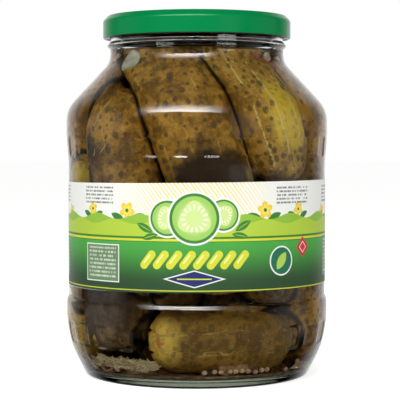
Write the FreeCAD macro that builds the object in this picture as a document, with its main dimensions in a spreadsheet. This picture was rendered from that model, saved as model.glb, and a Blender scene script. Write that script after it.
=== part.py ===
"""A 1.7 litre preserving jar of gherkins: pressed glass jar, twist-off steel lid, paper label and brine.

The jar stands on its foot ring at z = 0, centred on the Z axis, and its label faces -Y.
Lengths are millimetres and angles are degrees.
"""
import FreeCAD, Part
import math
import operator
import os

import Sketcher
from FreeCAD import Placement, Rotation, Vector

doc = FreeCAD.newDocument("pickle_crock")

# ---------------------------------------------------------------------------
# Driving sizes
# ---------------------------------------------------------------------------
DRIVING_SIZES = {
    # glass jar, outside: heights are stacked from the table up
    "bulge_diameter": 130.0,  # both bulges, which touch the next jar on a shelf
    "heel_inset": 9.9,  # how far the foot lies inside the lower bulge
    "foot_ring_width": 8.0,  # ring that the jar stands on, with its roundings
    "foot_rounding": 3.0,
    "punt_rise": 1.6,  # hollow in the underside
    "punt_rounding": 1.5,
    "heel_height": 19.4,  # up to where the heel's taper would meet the lower bulge
    "heel_curve": 48.0,
    "lower_bulge_height": 18.2,
    "panel_inset": 1.05,  # how far the label's band lies inside the bulges
    "ledge_height": 2.8,  # slope from the lower bulge in to the label's band
    "ledge_curve": 5.0,
    "panel_height": 65.1,
    "flare_height": 14.0,  # slope from the label's band out to the upper bulge
    "flare_curve": 20.0,
    "upper_bulge_height": 12.5,
    "shoulder_curve": 15.0,
    "shoulder_height": 23.4,
    "neck_curve": 9.0,
    "neck_diameter": 86.3,
    "bead_rise": 8.0,  # from the shoulder's top to the middle of the carrying bead
    "bead_stand_out": 1.35,
    "bead_thickness": 3.4,
    "bead_flat": 1.0,
    "bead_curve": 0.6,
    "finish_height": 13.6,  # from the middle of the bead to the rim
    "rim_rounding": 1.2,
    # glass jar, inside
    "wall": 3.2,
    "floor_thickness": 4.0,
    "floor_dome": 1.5,
    "floor_curve": 7.0,
    # flat facets pressed round both bulges
    "facet_count": 28,
    "ridge_drop": 0.04,  # how far the ridges between facets lie under the bulge
    "lower_facet_start": 16.0,
    "lower_facet_height": 14.5,
    "upper_facet_start": 1.1,  # above the label's band
    "upper_facet_height": 13.7,
    # glass thread under the lid
    "thread_radius": 1.0,
    "thread_stand_out": 0.6,
    "thread_arc": 50.0,
    "thread_tilt": 3.0,
    # twist-off lid
    "lug_count": 6,  # and as many threads
    "lug_turn": 2.0,
    "lug_arc": 11.0,
    "lug_thickness": 0.9,
    "lug_gap": 0.2,  # between a lug and the neck, and between a lug and its thread
    "lid_clearance": 0.95,  # between the thread and the curled edge
    "curl_radius": 1.0,
    "sheet": 0.3,
    "seal": 0.9,  # sealing compound between the rim and the sheet
    "lid_depth": 11.4,
    "lid_edge_drop": 2.6,
    "lid_edge_curve": 1.6,
    "lid_bead_inset": 2.5,
    "lid_bead_width": 7.0,
    "lid_panel_drop": 1.6,
    "lid_form_curve": 0.7,
    "button_diameter": 24.0,
    "button_dip": 0.7,
    # paper label
    "paper": 0.15,
    "label_margin_below": 5.6,  # bare glass from the ledge up to the label
    "label_margin_above": 8.7,  # bare glass from the label up to the flare
    "label_slant": 1.3,  # how much higher its right side was pasted than its left
    "label_gap": 22.0,  # bare glass between its two ends, at the back
    # brine
    "headspace": 16.0,  # from the brine up to the rim
}

sheet = doc.addObject("Spreadsheet::Sheet", "sizes")
for row, (alias, number) in enumerate(DRIVING_SIZES.items(), start=1):
    sheet.set(f"A{row}", alias)
    sheet.set(f"B{row}", str(number))
    sheet.setAlias(f"B{row}", alias)
doc.recompute()


class Size:
    """A size worked out from the sheet: its value now, and the expression that keeps it tied."""

    def __init__(self, value, text=None):
        self.value = float(value)
        self.text = text or repr(self.value)

    def __add__(self, other):
        return joined(self, "+", other)

    def __sub__(self, other):
        return joined(self, "-", other)

    def __mul__(self, other):
        return joined(self, "*", other)

    def __truediv__(self, other):
        return joined(self, "/", other)

    def root(self):
        return Size(math.sqrt(self.value), f"sqrt({self.text})")

    def cosine(self):
        return Size(math.cos(math.radians(self.value)), f"cos({self.text})")


ARITHMETIC = {"+": operator.add, "-": operator.sub, "*": operator.mul, "/": operator.truediv}


def joined(left, sign, right):
    right = right if isinstance(right, Size) else Size(right)
    return Size(ARITHMETIC[sign](left.value, right.value), f"({left.text} {sign} {right.text})")


def size(alias):
    return Size(sheet.get(alias), f"sizes.{alias}")


ZERO = Size(0)
HALF_TURN = Size(180)
FULL_TURN = Size(360)
SHARP = None
# A facet's cut is this many times the jar's radius, shared among the facets. Over two pi
# (6.28), neighbouring cuts run into each other and no strip of glass is missed.
FACET_WIDTHS_ROUND = 8
# What a trimming outline reaches past the paper it trims.
TRIM_MARGIN = 1


# ---------------------------------------------------------------------------
# Sketch and feature helpers
# ---------------------------------------------------------------------------
def new_body(label):
    body = doc.addObject("PartDesign::Body", label)
    body.Label = label
    return body


def origin_feature(body, role):
    return next(f for f in body.Origin.OriginFeatures if f.Role == role)


def section_sketch(body, name, turn=ZERO):
    """A sketch on the body's XZ plane: across is the radius and up is Z. turn swings it about Z."""
    sketch = body.newObject("Sketcher::SketchObject", name)
    sketch.AttachmentSupport = [(origin_feature(body, "XZ_Plane"), "")]
    sketch.MapMode = "FlatFace"
    if turn is not ZERO:
        sketch.AttachmentOffset = Placement(Vector(), Rotation(Vector(0, 1, 0), turn.value))
        sketch.setExpression("AttachmentOffset.Rotation.Angle", turn.text)
    return sketch


def pin(sketch, part, end, across, up):
    """Ties one point of the sketch to its place."""
    for kind, axis, length in (("DistanceX", -2, across), ("DistanceY", -1, up)):
        if length is ZERO:
            sketch.addConstraint(Sketcher.Constraint("PointOnObject", part, end, axis))
        else:
            tie = Sketcher.Constraint(kind, -1, 1, part, end, length.value)
            number = sketch.addConstraint(tie)
            sketch.setExpression(f"Constraints[{number}]", length.text)


def draw_outline(sketch, corners):
    """Draws one closed outline through corners, each (across, up, rounding or SHARP)."""
    points = [Vector(across.value, up.value, 0) for across, up, _ in corners]
    count = len(corners)
    leave, arrive, arcs = list(points), list(points), [None] * count
    for i, (_, _, rounding) in enumerate(corners):
        if rounding is SHARP:
            continue
        back = (points[i - 1] - points[i]).normalize()
        on = (points[(i + 1) % count] - points[i]).normalize()
        half = back.getAngle(on) / 2
        reach = rounding.value / math.tan(half)
        arrive[i] = points[i] + back * reach
        leave[i] = points[i] + on * reach
        middle = points[i] + (back + on).normalize() * (rounding.value / math.sin(half))
        left_turn = (-back).cross(on).z > 0
        first, last = (arrive[i], leave[i]) if left_turn else (leave[i], arrive[i])
        start, end = (math.atan2(p.y - middle.y, p.x - middle.x) for p in (first, last))
        circle = Part.Circle(middle, Vector(0, 0, 1), rounding.value)
        arcs[i] = (sketch.addGeometry(Part.ArcOfCircle(circle, start, end)), left_turn)
    lines = []
    for i in range(count):
        lines.append(sketch.addGeometry(Part.LineSegment(leave[i], arrive[(i + 1) % count])))
    for i, (across, up, rounding) in enumerate(corners):
        if rounding is SHARP:
            sketch.addConstraint(Sketcher.Constraint("Coincident", lines[i - 1], 2, lines[i], 1))
            pin(sketch, lines[i], 1, across, up)
            continue
        arc, left_turn = arcs[i]
        begin, end = (1, 2) if left_turn else (2, 1)
        sketch.addConstraint(Sketcher.Constraint("Tangent", lines[i - 1], 2, arc, begin))
        sketch.addConstraint(Sketcher.Constraint("Tangent", lines[i], 1, arc, end))
        number = sketch.addConstraint(Sketcher.Constraint("Radius", arc, rounding.value))
        sketch.setExpression(f"Constraints[{number}]", rounding.text)
        corner = sketch.addGeometry(Part.Point(points[i]), True)
        sketch.addConstraint(Sketcher.Constraint("PointOnObject", corner, 1, lines[i - 1]))
        sketch.addConstraint(Sketcher.Constraint("PointOnObject", corner, 1, lines[i]))
        pin(sketch, corner, 1, across, up)


def turned(body, kind, name, sketch, angle=FULL_TURN):
    """Turns a sketch about the Z axis: kind is Revolution or Groove. A part turn is centred on it."""
    feature = body.newObject(f"PartDesign::{kind}", name)
    feature.Profile = sketch
    feature.ReferenceAxis = (sketch, ["V_Axis"])
    feature.Midplane = angle is not FULL_TURN
    feature.Angle = angle.value
    feature.setExpression("Angle", angle.text)
    sketch.Visibility = False
    doc.recompute()
    return feature


def ring(body, name, circle, thickness, height):
    """A round bar bent into a level ring."""
    torus = body.newObject("PartDesign::AdditiveTorus", name)
    torus.AttachmentSupport = [(origin_feature(body, "XY_Plane"), "")]
    torus.MapMode = "FlatFace"
    torus.AttachmentOffset = Placement(Vector(0, 0, height.value), Rotation())
    torus.Radius1 = circle.value
    torus.Radius2 = thickness.value
    torus.setExpression("AttachmentOffset.Base.z", height.text)
    torus.setExpression("Radius1", circle.text)
    torus.setExpression("Radius2", thickness.text)
    doc.recompute()
    return torus


def round_pattern(body, name, original, number):
    """Repeats a feature round the Z axis."""
    pattern = body.newObject("PartDesign::PolarPattern", name)
    pattern.Originals = [original]
    pattern.Axis = (origin_feature(body, "Z_Axis"), [""])
    pattern.Angle = 360.0
    pattern.Occurrences = int(number.value)
    pattern.setExpression("Occurrences", number.text)
    body.Tip = pattern
    doc.recompute()
    return pattern


# ---------------------------------------------------------------------------
# Heights and radii that several pieces share
# ---------------------------------------------------------------------------
wall = size("wall")
bulge = size("bulge_diameter") / 2
panel = bulge - size("panel_inset")
neck = size("neck_diameter") / 2
foot = bulge - size("heel_inset")
mouth = neck - wall

heel_top = size("heel_height")
lower_bulge_top = heel_top + size("lower_bulge_height")
ledge_top = lower_bulge_top + size("ledge_height")
panel_top = ledge_top + size("panel_height")
flare_top = panel_top + size("flare_height")
shoulder_foot = flare_top + size("upper_bulge_height")
shoulder_top = shoulder_foot + size("shoulder_height")
bead_middle = shoulder_top + size("bead_rise")
rim = bead_middle + size("finish_height")
brine_level = rim - size("headspace")

# The heel and the shoulder slope, so the inside corners sit off the outside ones.
heel_slope = size("heel_inset") / heel_top
heel_slant = (heel_slope * heel_slope + 1).root()
cone_run = bulge - neck
cone_rise = size("shoulder_height")
cone_slant = (cone_run * cone_run + cone_rise * cone_rise).root()
cone_drop = wall * (cone_slant - cone_rise) / cone_run

# The lid grips under the glass thread, so its heights place the thread.
sheet_thickness = size("sheet")
curl = size("curl_radius")
thread_circle = neck + size("thread_stand_out") - size("thread_radius")
curl_circle = neck + size("thread_stand_out") + size("lid_clearance") + curl
skirt = curl_circle + curl
lid_top = rim + size("seal") + sheet_thickness
curl_height = lid_top - size("lid_depth") + curl
lug_half = size("lug_thickness") / 2
thread_height = curl_height + lug_half + size("lug_gap") + size("thread_radius")


def cavity_outline(top):
    """The inside of the jar up to a height in the neck: one wall inside the outer form."""
    floor = size("floor_thickness")
    return [
        (ZERO, floor + size("floor_dome"), SHARP),
        (foot + floor * heel_slope - wall * heel_slant, floor, size("floor_curve")),
        (bulge - wall, heel_top + wall * (heel_slant - 1) / heel_slope, size("heel_curve") - wall),
        (bulge - wall, lower_bulge_top, size("ledge_curve")),
        (panel - wall, ledge_top, size("ledge_curve")),
        (panel - wall, panel_top, size("flare_curve")),
        (bulge - wall, flare_top, size("flare_curve")),
        (bulge - wall, shoulder_foot - cone_drop, size("shoulder_curve") - wall),
        (mouth, shoulder_top - cone_drop, size("neck_curve") + wall),
        (mouth, top, SHARP),
        (ZERO, top, SHARP),
    ]


# ---------------------------------------------------------------------------
# Jar: one piece of pressed glass
# ---------------------------------------------------------------------------
def jar_outline():
    ring_inside = foot - size("foot_ring_width")
    bead = neck + size("bead_stand_out")
    bead_half = size("bead_thickness") / 2
    flat_half = size("bead_flat") / 2
    bead_curve = size("bead_curve")
    return [
        (ZERO, size("punt_rise"), SHARP),
        (ring_inside - size("punt_rise"), size("punt_rise"), size("punt_rounding")),
        (ring_inside, ZERO, size("punt_rounding")),
        (foot, ZERO, size("foot_rounding")),
        (bulge, heel_top, size("heel_curve")),
        (bulge, lower_bulge_top, size("ledge_curve")),
        (panel, ledge_top, size("ledge_curve")),
        (panel, panel_top, size("flare_curve")),
        (bulge, flare_top, size("flare_curve")),
        (bulge, shoulder_foot, size("shoulder_curve")),
        (neck, shoulder_top, size("neck_curve")),
        (neck, bead_middle - bead_half, bead_curve),
        (bead, bead_middle - flat_half, bead_curve),
        (bead, bead_middle + flat_half, bead_curve),
        (neck, bead_middle + bead_half, bead_curve),
        (neck, rim, size("rim_rounding")),
        (ZERO, rim, SHARP),
    ]


def heel_radius_at(height):
    """Radius of the heel's curve at a height, up to where it joins the lower bulge."""
    curve = size("heel_curve")
    joins = heel_top + curve * (heel_slant - 1) / heel_slope
    below = joins - height
    return bulge - curve + (curve * curve - below * below).root()


def facet_outline(ridge):
    """The glass outside one row's facets, whose ridges pass through (radius, height) places."""
    flatness = (HALF_TURN / size("facet_count")).cosine()
    drop = size("ridge_drop")
    beyond = bulge + 1
    face = [((radius - drop) * flatness, height, SHARP) for radius, height in ridge]
    return face[::-1] + [(beyond, ridge[0][1], SHARP), (beyond, ridge[-1][1], SHARP)]


def make_jar():
    body = new_body("jar")
    outside = section_sketch(body, "jar_outside")
    draw_outline(outside, jar_outline())
    turned(body, "Revolution", "jar_glass", outside)
    inside = section_sketch(body, "jar_inside")
    draw_outline(inside, cavity_outline(rim))
    turned(body, "Groove", "jar_cavity", inside)

    count = size("facet_count")
    facets = section_sketch(body, "facet_shapes", turn=HALF_TURN / count)
    low = size("lower_facet_start")
    middle = low + size("lower_facet_height") / 2
    high = low + size("lower_facet_height")
    draw_outline(facets, facet_outline([(heel_radius_at(z), z) for z in (low, middle, high)]))
    low = panel_top + size("upper_facet_start")
    high = low + size("upper_facet_height")
    draw_outline(facets, facet_outline([(panel, low), (bulge, high)]))
    doc.recompute()
    before = body.Shape.Volume
    cut = body.newObject("PartDesign::Pocket", "facet_cut")
    cut.Profile = facets
    cut.Midplane = True
    width = bulge * FACET_WIDTHS_ROUND / count
    cut.Length = width.value
    cut.setExpression("Length", width.text)
    facets.Visibility = False
    doc.recompute()
    if not cut.Shape.Volume < before:
        raise RuntimeError("the facets cut nothing")
    round_pattern(body, "facet_rows", cut, count)

    thread = ring(body, "thread", thread_circle, size("thread_radius"), thread_height)
    thread.Angle3 = size("thread_arc").value
    thread.setExpression("Angle3", size("thread_arc").text)
    centred = Rotation(Vector(0, 0, 1), -size("thread_arc").value / 2)
    tilted = Rotation(Vector(1, 0, 0), size("thread_tilt").value)
    thread.AttachmentOffset = Placement(thread.AttachmentOffset.Base, tilted * centred)
    doc.recompute()
    round_pattern(body, "threads", thread, size("lug_count"))
    return body


# ---------------------------------------------------------------------------
# Lid: enamelled steel sheet, pressed, with its edge curled and six lugs turned in
# ---------------------------------------------------------------------------
def lid_outline():
    """Over the top from the middle to the skirt's foot, and back under the sheet and the seal."""
    form = size("lid_form_curve")
    edge = size("lid_edge_curve")
    button = size("button_diameter") / 2
    dip = size("button_dip")
    drop = size("lid_panel_drop")
    bead_outside = skirt - size("lid_bead_inset")
    bead_inside = bead_outside - size("lid_bead_width")
    face = lid_top - drop
    edge_top = lid_top - size("lid_edge_drop")
    over = [
        (ZERO, face - dip, SHARP),
        (button - dip, face - dip, form),
        (button, face, form),
        (bead_inside - drop, face, form),
        (bead_inside, lid_top, form),
        (bead_outside, lid_top, form),
        (skirt, edge_top, edge),
        (skirt, curl_height, SHARP),
    ]
    under = [
        (skirt - sheet_thickness, curl_height, SHARP),
        (skirt - sheet_thickness, edge_top - sheet_thickness, edge - sheet_thickness),
        (neck + size("thread_stand_out"), rim, form),
        (bead_inside, rim, form),
        (bead_inside - drop, face - sheet_thickness, form),
        (button, face - sheet_thickness, form),
        (button - dip, face - dip - sheet_thickness, form),
        (ZERO, face - dip - sheet_thickness, SHARP),
    ]
    return over + under


def make_lid():
    body = new_body("lid")
    pressed = section_sketch(body, "lid_section")
    draw_outline(pressed, lid_outline())
    turned(body, "Revolution", "lid_sheet", pressed)
    ring(body, "lid_curl", curl_circle, curl, curl_height)
    section = section_sketch(body, "lug_section", turn=size("lug_turn"))
    tip = neck + size("lug_gap")
    draw_outline(
        section,
        [
            (tip, curl_height - lug_half, SHARP),
            (curl_circle, curl_height - lug_half, SHARP),
            (curl_circle, curl_height + lug_half, SHARP),
            (tip, curl_height + lug_half, SHARP),
        ],
    )
    lug = turned(body, "Revolution", "lug", section, angle=size("lug_arc"))
    round_pattern(body, "lugs", lug, size("lug_count"))
    return body


# ---------------------------------------------------------------------------
# Label: a strip of paper pasted round the panel, a little askew, its ends apart at the back
# ---------------------------------------------------------------------------
def make_label():
    body = new_body("label")
    body.Placement = Placement(Vector(), Rotation(Vector(0, 0, 1), -90))
    outer = panel + size("paper")
    slant = size("label_slant") / 2
    bottom = ledge_top + size("label_margin_below")
    top = panel_top - size("label_margin_above")
    strip = section_sketch(body, "label_section")
    draw_outline(
        strip,
        [
            (panel, bottom - slant, SHARP),
            (outer, bottom - slant, SHARP),
            (outer, top + slant, SHARP),
            (panel, top + slant, SHARP),
        ],
    )
    opening = size("label_gap") / panel * math.degrees(1)
    turned(body, "Revolution", "label_paper", strip, angle=FULL_TURN - opening)

    before = body.Shape.Volume
    trim = body.newObject("Sketcher::SketchObject", "label_trim")
    trim.AttachmentSupport = [(origin_feature(body, "YZ_Plane"), "")]
    trim.MapMode = "FlatFace"
    reach = outer + TRIM_MARGIN
    tilt = slant * reach / panel
    clear = slant * 2 + TRIM_MARGIN
    for edge, away in ((bottom, ZERO - clear), (top, clear)):
        draw_outline(
            trim,
            [
                (ZERO - reach, edge - tilt, SHARP),
                (reach, edge + tilt, SHARP),
                (reach, edge + away, SHARP),
                (ZERO - reach, edge + away, SHARP),
            ],
        )
    cut = body.newObject("PartDesign::Pocket", "label_edges")
    cut.Profile = trim
    cut.Type = "ThroughAll"
    cut.Midplane = True
    trim.Visibility = False
    doc.recompute()
    if not cut.Shape.Volume < before:
        raise RuntimeError("the label's edges were not trimmed")
    return body


# ---------------------------------------------------------------------------
# Brine: fills the jar up to its level in the neck; the gherkins are sunk in it
# ---------------------------------------------------------------------------
def make_brine():
    body = new_body("brine")
    filling = section_sketch(body, "brine_section")
    draw_outline(filling, cavity_outline(brine_level))
    turned(body, "Revolution", "brine_filling", filling)
    return body


pieces = [make_jar(), make_lid(), make_label(), make_brine()]

for thing in doc.Objects:
    if {"Invalid", "Error"} & set(thing.State):
        raise RuntimeError(f"{thing.Name} failed: {thing.State}")
os.makedirs("parts", exist_ok=True)
for body in pieces:
    shape = body.Shape
    if shape.isNull() or not shape.isValid() or len(shape.Solids) != 1:
        raise RuntimeError(f"{body.Label} is not one valid solid")
for body in pieces:
    body.Shape.exportStep(f"parts/{body.Label}.step")
    box = body.Shape.optimalBoundingBox()
    print(
        f"{body.Label}: {box.XLength:.2f} x {box.YLength:.2f} x {box.ZLength:.2f} mm,"
        f" z {box.ZMin:.2f} to {box.ZMax:.2f}, {body.Shape.Volume / 1000:.2f} cm3"
    )
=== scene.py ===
"""The looks of a jar of pickled gherkins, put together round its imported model."""
import math
import random

import bpy
import numpy as np
from mathutils import Matrix, Vector
from mathutils.kdtree import KDTree


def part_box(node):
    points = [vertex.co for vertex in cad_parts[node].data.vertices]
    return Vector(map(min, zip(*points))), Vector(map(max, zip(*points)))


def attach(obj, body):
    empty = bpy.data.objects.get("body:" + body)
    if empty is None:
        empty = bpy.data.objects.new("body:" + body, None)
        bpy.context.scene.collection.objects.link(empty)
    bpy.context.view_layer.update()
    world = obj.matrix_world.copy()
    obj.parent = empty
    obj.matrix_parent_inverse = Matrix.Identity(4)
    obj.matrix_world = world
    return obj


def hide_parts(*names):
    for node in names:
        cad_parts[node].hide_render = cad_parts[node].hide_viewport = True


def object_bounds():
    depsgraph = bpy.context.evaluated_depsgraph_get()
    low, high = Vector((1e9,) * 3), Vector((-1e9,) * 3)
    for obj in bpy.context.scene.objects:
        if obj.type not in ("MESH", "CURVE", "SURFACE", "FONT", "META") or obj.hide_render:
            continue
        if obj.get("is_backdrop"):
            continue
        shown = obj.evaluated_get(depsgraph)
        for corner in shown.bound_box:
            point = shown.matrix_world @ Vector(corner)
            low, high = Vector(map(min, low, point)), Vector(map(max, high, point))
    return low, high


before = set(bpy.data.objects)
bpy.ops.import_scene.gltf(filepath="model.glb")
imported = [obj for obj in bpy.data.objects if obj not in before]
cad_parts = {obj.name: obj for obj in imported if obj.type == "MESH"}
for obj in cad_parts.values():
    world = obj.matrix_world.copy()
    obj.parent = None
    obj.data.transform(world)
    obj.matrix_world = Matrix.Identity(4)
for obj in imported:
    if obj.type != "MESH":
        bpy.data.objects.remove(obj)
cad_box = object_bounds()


# --- Jar ----------------------------------------------------------------------------------
# One piece of pressed glass, 3.2 mm thick, with a hollow foot, two bulges and a bead under
# the lid. Twenty-eight flat facets are pressed round each bulge.
# Sizes here and below are in millimetres, and Blender's are in metres.
MM = 0.001
jar_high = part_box("jar")[1]
bulge = jar_high.x / MM
rim_height = jar_high.z / MM
wall = 3.2
floor_thickness = 4.0
floor_rise = 1.5
punt_rise = 1.6
standing_ring = 8.0
panel = bulge - 1.05
neck = 43.15
foot = bulge - 9.9
heel_top = 19.4
lower_bulge_top = 37.6
ledge_top = 40.4
ledge_crispness = 0.4
panel_top = 105.5
flare_top = 119.5
shoulder_foot = 132.0
shoulder_top = 155.4
bead_middle = rim_height - 13.6
bead_proud = 1.35
heel_round = 48
flare_round = 20
shoulder_round = 15
neck_round = 9
facet_count = 28


def rounded(corners, step, longest):
    """Points along an outline of (radius, height, rounding) corners, in millimetres."""
    points = []
    for i, (across, up, rounding) in enumerate(corners):
        corner = Vector((across, up))
        if not rounding:
            points.append(corner)
            continue
        back = (Vector(corners[i - 1][:2]) - corner).normalized()
        on = (Vector(corners[i + 1][:2]) - corner).normalized()
        half = back.angle(on) / 2
        middle = corner + (back + on).normalized() * rounding / math.sin(half)
        first = corner + back * rounding / math.tan(half) - middle
        sweep = math.pi - 2 * half
        if first.cross(on) < 0:
            sweep = -sweep
        count = math.ceil(max(2, abs(math.degrees(sweep)) / step, abs(sweep) * rounding / longest))
        for k in range(count + 1):
            turn = Matrix.Rotation(sweep * k / count, 2)
            points.append(middle + turn @ first)
    return points


def filled_in(points, longest, bands=(), fine=1.0):
    """The same outline with its long stretches divided, and finely between a band's heights."""
    full = [points[0]]
    for a, b in zip(points, points[1:]):
        within = any(low < (a.y + b.y) / 2 < high and a.x > panel - wall / 2 for low, high in bands)
        count = max(1, math.ceil((b - a).length / (fine if within else longest)))
        full += [a.lerp(b, k / count) for k in range(1, count + 1)]
    return full


def fresh(add, **settings):
    """Adds one of Blender's own shapes with nothing else selected."""
    bpy.ops.object.select_all(action="DESELECT")
    add(**settings)
    return bpy.context.object


def lathe(name, outline, steps):
    """Turns an outline that starts and ends on the axis into a closed piece."""
    start = (outline[0].x * MM, 0, outline[0].y * MM)
    piece = fresh(bpy.ops.mesh.primitive_plane_add, size=MM, location=start)
    piece.name = piece.data.name = name
    bpy.ops.object.transform_apply(location=True)
    bpy.ops.object.mode_set(mode="EDIT")
    bpy.ops.mesh.merge(type="CENTER")
    for a, b in zip(outline, outline[1:]):
        move = ((b.x - a.x) * MM, 0, (b.y - a.y) * MM)
        bpy.ops.mesh.extrude_region_move(TRANSFORM_OT_translate={"value": move})
    bpy.ops.mesh.select_all(action="SELECT")
    bpy.ops.mesh.spin(
        steps=steps, angle=2 * math.pi, center=(0, 0, 0), axis=(0, 0, 1), use_auto_merge=True
    )
    bpy.ops.mesh.select_all(action="SELECT")
    bpy.ops.mesh.remove_doubles(threshold=0.002 * MM)
    bpy.ops.mesh.normals_make_consistent(inside=False)
    bpy.ops.object.mode_set(mode="OBJECT")
    bpy.ops.object.shade_smooth()
    return piece


outside = [
    # radius, height, rounding
    (0, punt_rise, 0),
    (foot - standing_ring - punt_rise, punt_rise, 1.5),
    (foot - standing_ring, 0, 1.5),
    (foot, 0, 3),
    (bulge, heel_top, heel_round),
    (bulge, lower_bulge_top + ledge_crispness, 4),
    (panel, ledge_top - ledge_crispness, 4),
    (panel, panel_top, flare_round),
    (bulge, flare_top, flare_round),
    (bulge, shoulder_foot, shoulder_round),
    (neck, shoulder_top, neck_round),
    (neck, bead_middle - 1.7, 0.6),
    (neck + bead_proud, bead_middle - 0.5, 0.6),
    (neck + bead_proud, bead_middle + 0.5, 0.6),
    (neck, bead_middle + 1.7, 0.6),
    (neck, rim_height, 1.2),
]


def cavity(grown=0.0):
    """The corners of the jar's inside, or of the same form grown all round."""
    taper = (bulge - foot) / heel_top
    slant = math.hypot(taper, 1)
    gap = wall - grown
    cone_rise = shoulder_top - shoulder_foot
    cone_run = bulge - neck
    drop = gap * (math.hypot(cone_run, cone_rise) - cone_rise) / cone_run
    floor = floor_thickness - grown
    return [
        (0, floor + floor_rise, 0),
        (foot + floor * taper - gap * slant, floor, 7),
        (bulge - gap, heel_top + gap * (slant - 1) / taper, heel_round - gap),
        (bulge - gap, lower_bulge_top, 5),
        (panel - gap, ledge_top, 5),
        (panel - gap, panel_top, flare_round),
        (bulge - gap, flare_top, flare_round),
        (bulge - gap, shoulder_foot - drop, shoulder_round - gap),
        (neck - gap, shoulder_top - drop, neck_round + gap),
        (neck - gap, rim_height, 0),
    ]


facet_rows = [(15.5, 31.0), (106.2, 120.6)]
near_rows = [(low - 1, high + 1) for low, high in facet_rows]
glass_line = rounded(outside + cavity()[::-1], 12.0, 3.0)
glass_line = filled_in(glass_line, 9.0, near_rows, 0.5)
steps_per_facet = 16
jar_glass = lathe("jar_glass", glass_line, facet_count * steps_per_facet)


def mesh_places(mesh, unit=MM):
    """Where a mesh's points are, in millimetres unless another unit is given."""
    places = np.zeros(len(mesh.vertices) * 3)
    mesh.vertices.foreach_get("co", places)
    return places.reshape(-1, 3) / unit


def place_mesh(mesh, places):
    """Puts a mesh's points at places given in millimetres."""
    mesh.vertices.foreach_set("co", (places * MM).ravel())
    mesh.update()


def press_facets(mesh, low, high, corner, soft, sunk):
    """Flattens the outside between two heights into facets with rounded corners."""
    places = mesh_places(mesh)
    radius = np.hypot(places[:, 0], places[:, 1])
    angle = np.arctan2(places[:, 1], places[:, 0])
    half = math.pi / facet_count
    off = (angle / half) % 2 * half - half
    across = np.abs(radius * np.tan(off)) - (radius * math.tan(half) - soft - corner)
    up = np.abs(places[:, 2] - (low + high) / 2) - ((high - low) / 2 - soft - corner)
    outer = radius > panel - wall / 2
    reach = np.hypot(np.maximum(across, 0), np.maximum(up, 0))
    reach += np.minimum(np.maximum(across, up), 0) - corner
    share = np.clip(-reach / soft, 0, 1)
    share = share * share * (3 - 2 * share) * outer
    flat = radius * math.cos(half) / np.cos(off) - sunk
    pressed = radius + (flat - radius) * share
    places[:, :2] *= (pressed / np.maximum(radius, 1e-9))[:, None]
    place_mesh(mesh, places)


for low, high in facet_rows:
    press_facets(jar_glass.data, low, high, corner=2.4, soft=1.7, sunk=0.16)


class Value:
    """A socket of a finish's node tree that takes part in sums."""

    def __init__(self, finish, socket):
        self.finish = finish
        self.socket = socket

    def _math(self, operation, *others):
        values = {0: self, **{place: other for place, other in enumerate(others, 1)}}
        return self.finish.node("ShaderNodeMath", {"operation": operation}, values)

    def __add__(self, other):
        return self._math("ADD", other)

    __radd__ = __add__

    def __sub__(self, other):
        return self._math("SUBTRACT", other)

    def __rsub__(self, other):
        return self._math("MULTIPLY_ADD", -1.0, other)

    def __mul__(self, other):
        return self._math("MULTIPLY", other)

    __rmul__ = __mul__

    def __truediv__(self, other):
        return self._math("DIVIDE", other)

    def __pow__(self, other):
        return self._math("POWER", other)

    def least(self, other):
        return self._math("MINIMUM", other)

    def most(self, other):
        return self._math("MAXIMUM", other)

    def size(self):
        return self._math("ABSOLUTE")

    def sine(self):
        return self._math("SINE")

    def cosine(self):
        return self._math("COSINE")

    def wrap(self, low, high):
        return self._math("WRAP", high, low)

    def bearing(self, ahead):
        """The angle whose sides are this value and another ahead of it."""
        return self._math("ARCTAN2", ahead)

    def rise(self, start, end):
        """0 before start, 1 after end and a smooth step between; falls where end is the lower."""
        settings = {"interpolation_type": "SMOOTHSTEP"}
        sockets = {"Value": self, "From Min": min(start, end), "From Max": max(start, end)}
        if end < start:
            sockets |= {"To Min": 1.0, "To Max": 0.0}
        return self.finish.node("ShaderNodeMapRange", settings, sockets)

    def under(self, limit, soft):
        """1 under a limit and 0 over it, with an edge that is soft to each side."""
        return self.rise(limit + soft, limit - soft)


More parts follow.
